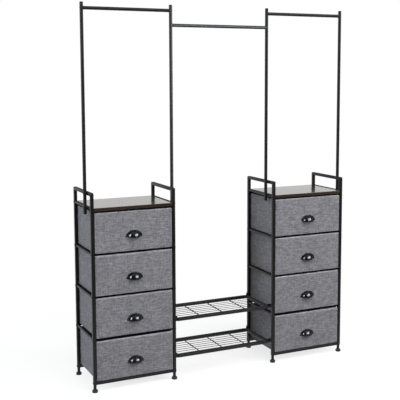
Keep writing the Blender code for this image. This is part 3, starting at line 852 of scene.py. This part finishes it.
def floor_board(drawer, low, high):
    """The stiff lined board that lies loose in the bin."""
    bm = bmesh.new()
    gap = TUB_WALL + BOARD_GAP
    bottom = low.z + TUB_WALL
    lowest = (low.x + gap, low.y + FRONT_THICKNESS + BOARD_EDGE, bottom)
    verts = add_box(bm, lowest, (high.x - gap, high.y - gap, bottom + BOARD_THICKNESS))
    round_edges(bm, edges_among(verts), BOARD_EDGE, 2)
    return piece(bm, f"{drawer}_floor_board", [LINING], drawer, 30.0)


print("hem:", HEM * 1000, "mm")

# %% [markdown]
# A row of stitches holds the hem. Each shows as a short thread, so a six-sided cylinder is form enough.

# %% Stitches
STITCH = 0.0030
STITCH_PITCH = 0.0044
STITCH_RADIUS = 0.00032
STITCH_RISE = 0.0022  # above the lower edge of the hem
STITCH_SUNK = 0.0001
STITCH_START = 0.003  # behind the covered front
STITCH_STOP = 0.002  # short of the rounded corners


def stitch_run(bm, start, end):
    way = end - start
    count = int(way.length / STITCH_PITCH)
    step = way.normalized()
    for number in range(count):
        centre = start + step * (number + 0.5) * way.length / count
        add_cylinder(bm, centre - step * STITCH / 2, centre + step * STITCH / 2, STITCH_RADIUS, 6)


def stitching(drawer, low, high):
    bm = bmesh.new()
    height = high.z - HEM + STITCH_RISE
    proud = HEM_RISE - STITCH_SUNK
    front = low.y + FRONT_THICKNESS + STITCH_START
    turn = TUB_CORNER + STITCH_STOP
    for x in (low.x - proud, high.x + proud):
        stitch_run(bm, Vector((x, front, height)), Vector((x, high.y - turn, height)))
    y = high.y + proud
    stitch_run(bm, Vector((low.x + turn, y, height)), Vector((high.x - turn, y, height)))
    return piece(bm, f"{drawer}_stitching", [THREAD], drawer, 60.0)


print("stitches in a metre:", int(1 / STITCH_PITCH))

# %% [markdown]
# ## Cup pulls
# The pull is a quarter of a hollow dome, open below for the fingers, on a flat arched flange that widens
# into an ear at each side. We start from a ball, squash it to the cup's size, cut away what lies behind the
# flange and below the lip, and give the shell its wall. The flange is the band between two half ellipses:
# bridging the two loops fills it, and pulling it forward makes it solid.

# %% Cup pull
PULL_WALL = 0.0018
FLANGE = 0.0020
EAR_ROUND = 0.0035
CUP_HALF_WIDTH = 0.031
CUP_HEIGHT = 0.0290
CUP_LIP = 0.0022
FLANGE_FOOT = 0.004  # above the lowest point of the frame's pull
FLANGE_TOP_DROP = 0.0020
FLANGE_EDGE = 0.0007


def cup(bm, centre, depth):
    made = bmesh.ops.create_uvsphere(bm, u_segments=48, v_segments=32, radius=1.0)
    bmesh.ops.scale(bm, vec=(CUP_HALF_WIDTH, depth, CUP_HEIGHT), verts=made["verts"])
    bmesh.ops.translate(bm, vec=centre, verts=made["verts"])
    cut(bm, centre, (0, 1, 0), clear_outer=True)
    cut(bm, centre - Vector((0, 0, CUP_LIP)), (0, 0, -1), clear_outer=True)
    bmesh.ops.recalc_face_normals(bm, faces=bm.faces)
    outside = centre + Vector((0, -10, 0))
    if sum(face.normal.dot(outside - face.calc_center_median()) for face in bm.faces) < 0:
        bmesh.ops.reverse_faces(bm, faces=bm.faces)
    bmesh.ops.solidify(bm, geom=bm.faces[:], thickness=PULL_WALL)


def half_ellipse(bm, centre, half_width, height, steps=40):
    """Upper half of an ellipse as a chain of edges in the plane of the drawer's front."""
    made = bmesh.ops.create_circle(bm, segments=2 * steps, radius=1.0)["verts"]
    below = [vert for vert in made if vert.co.y < -NEAR]
    bmesh.ops.delete(bm, geom=below, context="VERTS")
    kept = [vert for vert in made if vert.is_valid]
    bmesh.ops.scale(bm, vec=(half_width, height, 1.0), verts=kept)
    upright = Matrix.Translation(centre) @ Matrix.Rotation(math.pi / 2, 4, "X")
    bmesh.ops.transform(bm, matrix=upright, verts=kept)
    return edges_among(kept)


def flange(bm, centre, half_width, height):
    outer = half_ellipse(bm, centre, half_width, height)
    inner = half_ellipse(bm, centre, CUP_HALF_WIDTH - PULL_WALL, CUP_HEIGHT - PULL_WALL)
    band = bmesh.ops.bridge_loops(bm, edges=outer + inner)["faces"]
    ends = [v for face in band for v in face.verts if abs(v.co.z - centre.z) < NEAR]
    tips = [v for v in set(ends) if abs(v.co.x - centre.x) > CUP_HALF_WIDTH]
    round_edges(bm, tips, EAR_ROUND, 5, "VERTICES")
    verts = only(BMVert, bmesh.ops.extrude_face_region(bm, geom=bm.faces[:])["geom"])
    bmesh.ops.translate(bm, verts=verts, vec=(0, -FLANGE, 0))
    round_edges(bm, sharp_edges(edges_among(verts)), FLANGE_EDGE)


def pull_piece(drawer):
    low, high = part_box(f"{drawer}_pull")
    centre = Vector(((low.x + high.x) / 2, high.y, low.z + FLANGE_FOOT))
    flange_bm = bmesh.new()
    flange(flange_bm, centre, (high.x - low.x) / 2, high.z - centre.z - FLANGE_TOP_DROP)
    piece(flange_bm, f"{drawer}_pull_flange", [NICKEL], drawer, 40.0)
    cup_bm = bmesh.new()
    cup(cup_bm, centre, high.y - low.y)
    shell = piece(cup_bm, f"{drawer}_pull_cup", [NICKEL], drawer, 50.0)
    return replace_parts(shell, f"{drawer}_pull")


print("cup:", CUP_HALF_WIDTH * 2000, "mm wide")

# %% All eight drawers
DRAWERS = [f"{side}_drawer_{number}" for side in ("left", "right") for number in (1, 2, 3, 4)]
for drawer_seed, drawer_name in enumerate(DRAWERS):
    bin_low, bin_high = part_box(f"{drawer_name}_bin")
    covered_front(drawer_name, bin_low, bin_high, drawer_seed)
    cloth_tub(drawer_name, bin_low, bin_high, drawer_seed + 20)
    floor_board(drawer_name, bin_low, bin_high)
    stitching(drawer_name, bin_low, bin_high)
    pull_piece(drawer_name)
print("drawers:", len(DRAWERS))

# %% [markdown]
# A lamp has to be strong to show on dark polished metal, and would bleach the cloth, so these lamps are
# linked to a set of pieces and light nothing else. Two put a pair of bright streaks on the pulls, which the
# overhead lamp leaves out. One behind the rack keeps the backs of the bins from going black, and one gives
# the middle rod and the post beside it their pale streak.

# %% Lamps that light a few pieces
PULLS = [f"{drawer}_pull_{form}" for drawer in DRAWERS for form in ("flange", "cup")]
CLOTH = [f"{drawer}_{form}" for drawer in DRAWERS for form in ("cloth_tub", "stitching")]
STREAKED = ["middle_hanging_rod_tube", "left_inner_round_post"]


def link_lamp(lamp, names):
    chosen = bpy.data.collections.new(f"pieces_of_{lamp.name}")
    for name in names:
        chosen.objects.link(scene.objects[name])
    lamp.light_linking.receiver_collection = chosen
    return chosen


for entry in link_lamp(overhead, PULLS).collection_objects:
    entry.light_linking.link_state = "EXCLUDE"
link_lamp(soft_box("left_box_for_pulls", -73, 17, 4.5, (1.4, 2.1), 275), PULLS)
link_lamp(soft_box("right_box_for_pulls", 28, 17, 4.5, (3.0, 2.1), 400), PULLS)
link_lamp(soft_box("box_behind_for_cloth", 180, 25, 4.5, (3.0, 2.0), 75), CLOTH)
link_lamp(soft_box("right_box_for_streaks", 28, 17, 4.5, (1.5, 1.6), 240, COOL), STREAKED)
print("pieces lit by lamps of their own:", len(PULLS + CLOTH + STREAKED))

# %% [markdown]
# ## Wire shelves
# A shelf is a round tube bent into a closed loop, with thin wires welded across it. We sweep a ring of edges
# along the loop: pulled straight for the rails, and spun a quarter turn for each bend, until it meets its
# start. The wires are plain rods, and small angle plates at the corners carry the shelf on the legs.

# %% Shelf loop
SHELF_RADIUS = 0.0090
BEND = 0.017
BEND_STEPS = 8
RING_STEPS = 20


def pull_ring(bm, ring, vector):
    made = bmesh.ops.extrude_edge_only(bm, edges=ring)["geom"]
    bmesh.ops.translate(bm, verts=only(BMVert, made), vec=vector)
    return only(BMEdge, made)


def spin_ring(bm, ring, centre):
    geometry = list({vert for edge in ring for vert in edge.verts}) + ring
    quarter = {"cent": centre, "axis": (0, 0, 1), "angle": math.pi / 2}
    return only(BMEdge, bmesh.ops.spin(bm, geom=geometry, steps=BEND_STEPS, **quarter)["geom_last"])


def shelf_loop(bm, low, high, level):
    """Sweeps the tube round the loop, starting in the middle of the front rail and going to the right."""
    low_x, high_x = low.x + SHELF_RADIUS, high.x - SHELF_RADIUS
    low_y, high_y = low.y + SHELF_RADIUS, high.y - SHELF_RADIUS
    turn = Matrix.Rotation(math.pi / 2, 4, "Y")
    start = Matrix.Translation(((low_x + high_x) / 2, low_y, level))
    made = bmesh.ops.create_circle(bm, segments=RING_STEPS, radius=SHELF_RADIUS, matrix=start @ turn)
    half = (high_x - low_x) / 2 - BEND
    depth = high_y - low_y - 2 * BEND
    bends = (
        (high_x - BEND, low_y + BEND, (0, depth, 0)),
        (high_x - BEND, high_y - BEND, (-2 * half, 0, 0)),
        (low_x + BEND, high_y - BEND, (0, -depth, 0)),
        (low_x + BEND, low_y + BEND, (half, 0, 0)),
    )
    ring = pull_ring(bm, edges_among(made["verts"]), (half, 0, 0))
    for x, y, rail in bends:
        ring = spin_ring(bm, ring, (x, y, level))
        ring = pull_ring(bm, ring, rail)
    return low_x, high_x, low_y, high_y


print("bends:", BEND * 1000, "mm radius")

# %% Wires and lugs
LONG_WIRE = 0.0015
LONG_WIRES = 7
CROSS_WIRE = 0.0025
CROSS_WIRES = 3
CROSS_RISE = 0.0036
WIRE_WELD = 0.0004
WIRE_EDGE = 0.0008
LOOP_END_GAP = 0.0027
LOOP_SIDE_GAP = 0.0130
LUG_EDGE = 0.0006
LUG = 0.0025
LUG_ARM = 0.0158
ARM_INSET = 0.0001  # keeps the faces of arm and plate apart where they overlap


def shelf_wires(bm, edges, level):
    low_x, high_x, low_y, high_y = edges
    top = level + CROSS_RISE
    under = top - CROSS_WIRE - LONG_WIRE + WIRE_WELD
    for y in spread(low_y, high_y, LONG_WIRES):
        add_cylinder(bm, (low_x, y, under), (high_x, y, under), LONG_WIRE, 10)
    for x in spread(low_x, high_x, CROSS_WIRES):
        verts = add_cylinder(bm, (x, low_y, top), (x, high_y, top), CROSS_WIRE, 14)
        round_edges(bm, edges_among(verts, lambda edge: reach(edge, 1) < NEAR), WIRE_EDGE, 2)


def shelf_lug(bm, face_x, side_x, bend_y, leg_y, side_y, level, top):
    """A plate on the leg's face, with an arm that reaches into the bend of the loop."""
    plate = sorted((face_x, face_x - side_x * LUG)), sorted((bend_y, leg_y))
    arm = sorted((face_x, face_x - side_x * LUG_ARM)), sorted((bend_y, bend_y + side_y * LUG))
    for (x0, x1), (y0, y1), inset in ((*plate, 0.0), (*arm, ARM_INSET)):
        verts = add_box(bm, (x0 + inset, y0 + inset, level + inset), (x1 - inset, y1 - inset, top - inset))
        round_edges(bm, edges_among(verts), LUG_EDGE, 2)


def shelf_piece(name):
    low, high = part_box(name)
    bm = bmesh.new()
    level = low.z + SHELF_RADIUS
    gap = Vector((LOOP_END_GAP, LOOP_SIDE_GAP, 0))
    edges = shelf_loop(bm, low + gap, high - gap, level)
    shelf_wires(bm, edges, level)
    diagonal = (BEND + SHELF_RADIUS) * math.sqrt(0.5)
    for side_x, face_x in ((-1, low.x), (1, high.x)):
        for side_y, rail_y, leg_y in ((-1, edges[2], low.y), (1, edges[3], high.y)):
            bend_y = rail_y - side_y * BEND + side_y * (diagonal - LUG / 2)
            shelf_lug(bm, face_x, side_x, bend_y, leg_y, side_y, level, high.z)
    obj = piece(bm, f"{name}_wire_rack", [ROUND_TUBE_COAT], "rack", 40.0)
    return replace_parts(obj, name)


SHELVES = ("lower_shelf", "upper_shelf")
for shelf_name in SHELVES:
    shelf_piece(shelf_name)
print("wires in a shelf:", LONG_WIRES + CROSS_WIRES)

# %% [markdown]
# ## Levelling feet
# Each leg stands on a moulded pad on a threaded stem, which is screwed in or out until the rack stands
# level. The pad is a turned form with a soft upper edge and a narrow groove near the floor. Only a sliver of
# the stem shows.

# %% Feet
PAD_HEIGHT = 0.014
PAD_ROUND = 0.0035
STEM_RADIUS = 0.004
NECK = (0.0068, 0.0074)
BREAK = 0.0008
GROOVE = ((0, 0.0042), (0.0006, 0.0038), (0.0006, 0.0030), (0, 0.0026))  # inward, and above the floor


def foot_piece(node):
    low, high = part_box(node)
    centre = (low + high) / 2
    radius = (high.x - low.x) / 2
    top = low.z + PAD_HEIGHT
    bm = bmesh.new()
    profile = [(0.0, high.z), (STEM_RADIUS - BREAK, high.z), (STEM_RADIUS, high.z - BREAK)]
    profile += [(STEM_RADIUS, top), (NECK[0], top), (NECK[1], top - 1.5 * BREAK)]
    profile += quarter_round(radius, top - 2 * BREAK, PAD_ROUND, PAD_ROUND)
    profile += [(radius - inward, low.z + height) for inward, height in GROOVE]
    profile += [(radius, low.z + BREAK), (radius - BREAK, low.z), (0.0, low.z)]
    turned(bm, profile, centre, 40)
    obj = piece(bm, f"{node}_pad", [PLASTIC], node, 40.0)
    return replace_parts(obj, node)


FEET = [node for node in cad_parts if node.endswith("_foot")]
for foot_name in FEET:
    foot_piece(foot_name)
print("feet:", len(FEET))

# %% [markdown]
# ## Bolts and screws
# Bolts go through the posts into the rods and the side frames, through the legs into the cross rails, and
# through the shelf lugs into the legs. One function makes a head with its socket, facing any way, and loops
# set them out from the frame's own sizes.

# %% A bolt head
HEAD_TAPER = 0.86
HEAD_RISE = 0.0003
HEAD_EDGE = 0.0006
SOCKET_SHARE = 0.45
SOCKET_DEPTH = 0.7
FRAME_BOLT = (0.0046, 0.0024)
POST_BOLT = (0.0036, 0.0013)
SHELF_SCREW = (0.0035, 0.0018)
PULL_SCREW = (0.0040, 0.0020)


def bolt_head(bm, place, direction, radius, height):
    """A low round head whose underside lies at place, with a socket in its top."""
    direction, place = Vector(direction), Vector(place)
    verts = add_cylinder(bm, place, place + direction * height, radius, 24, HEAD_TAPER)
    faces = {face for vert in verts for face in vert.link_faces}
    top = max(faces, key=lambda face: face.calc_center_median().dot(direction))
    crown = list(top.edges)
    bmesh.ops.inset_region(bm, faces=[top], thickness=radius * HEAD_TAPER * (1 - SOCKET_SHARE))
    bmesh.ops.translate(bm, verts=list(top.verts), vec=direction * HEAD_RISE)
    hollow = bmesh.ops.extrude_face_region(bm, geom=[top])["geom"]
    bmesh.ops.translate(bm, verts=only(BMVert, hollow), vec=-direction * height * SOCKET_DEPTH)
    bmesh.ops.delete(bm, geom=[top], context="FACES_ONLY")
    round_edges(bm, [edge for edge in crown if edge.is_valid], HEAD_EDGE, 2)


def bolts_piece(name, body, spots, size):
    """Heads of one size, which is their radius and height, at pairs of a place and a direction."""
    bm = bmesh.new()
    for place, direction in spots:
        bolt_head(bm, place, direction, *size)
    return piece(bm, name, [SCREW], body, 40.0)


print("frame bolts are", FRAME_BOLT[0] * 2000, "mm wide")

# %% Bolts of the frames, posts, rods, shelves and pulls
POST_BOLT_SUNK = 0.0004
ROD_BOLT_SUNK = 0.0009
PULL_SCREW_SUNK = 0.0001
PULL_SCREW_INSET = 0.007
PULL_SCREW_RISE = 0.010


def frame_bolts(name):
    """Heads on the face of a side frame that is turned away from its dresser."""
    low, high = SIDES[name]
    side = AWAY[name]
    face = low.x if side < 0 else high.x
    levels = RAIL_LEVELS + [middle("left_bottom_front_rail").z, TOP_RAIL_LEVEL]
    spots = [((face, y, level), (side, 0, 0)) for y in LEG_CENTRES for level in levels]
    return bolts_piece(f"{name}_frame_bolts", "rack", spots, FRAME_BOLT)


def post_bolts(name):
    centre = POSTS[name]
    side = AWAY[name]
    heads = [(side, POST_BOLT_SUNK, level) for level in (HANDLE_TOP - TUBE / 2, TOP_RAIL_LEVEL)]
    for rod, ends in RODS.items():
        if name in ends:
            heads.append((-1 if name == ends[0] else 1, ROD_BOLT_SUNK, ROD_LEVELS[rod]))
    spots = []
    for way, sunk, level in heads:
        spots.append(((centre.x + way * (POST_RADIUS - sunk), centre.y, level), (way, 0, 0)))
    return bolts_piece(f"{name}_post_bolts", "rack", spots, POST_BOLT)


def shelf_screws(name):
    low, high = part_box(name)
    level = (low.z + SHELF_RADIUS + high.z) / 2
    faces = ((1, low.x + LUG), (-1, high.x - LUG))
    spots = [((face, y, level), (side, 0, 0)) for side, face in faces for y in LEG_CENTRES]
    return bolts_piece(f"{name}_screws", "rack", spots, SHELF_SCREW)


def pull_screws(drawer):
    """Two heads inside the drawer, behind the ears of its pull."""
    low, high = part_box(f"{drawer}_pull")
    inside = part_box(f"{drawer}_bin")[0].y + FRONT_THICKNESS - PULL_SCREW_SUNK
    places = (low.x + PULL_SCREW_INSET, high.x - PULL_SCREW_INSET)
    spots = [((x, inside, low.z + PULL_SCREW_RISE), (0, 1, 0)) for x in places]
    return bolts_piece(f"{drawer}_pull_screws", drawer, spots, PULL_SCREW)


for side_name in SIDES:
    frame_bolts(side_name)
    post_bolts(side_name)
for shelf_name in SHELVES:
    shelf_screws(shelf_name)
for drawer_name in DRAWERS:
    pull_screws(drawer_name)
print("bolt sets:", 2 * len(SIDES) + len(SHELVES) + len(DRAWERS))

# %% [markdown]
# ## Sizes
# The dressed rack has to keep the size of the frame, so we print how far its box has grown past the frame's.

# %% Compare both boxes
new_low, new_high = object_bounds()
pairs = zip([*cad_low, *cad_high], [*new_low, *new_high])
print("growth in mm:", [round(1000 * (new - old), 2) for old, new in pairs])
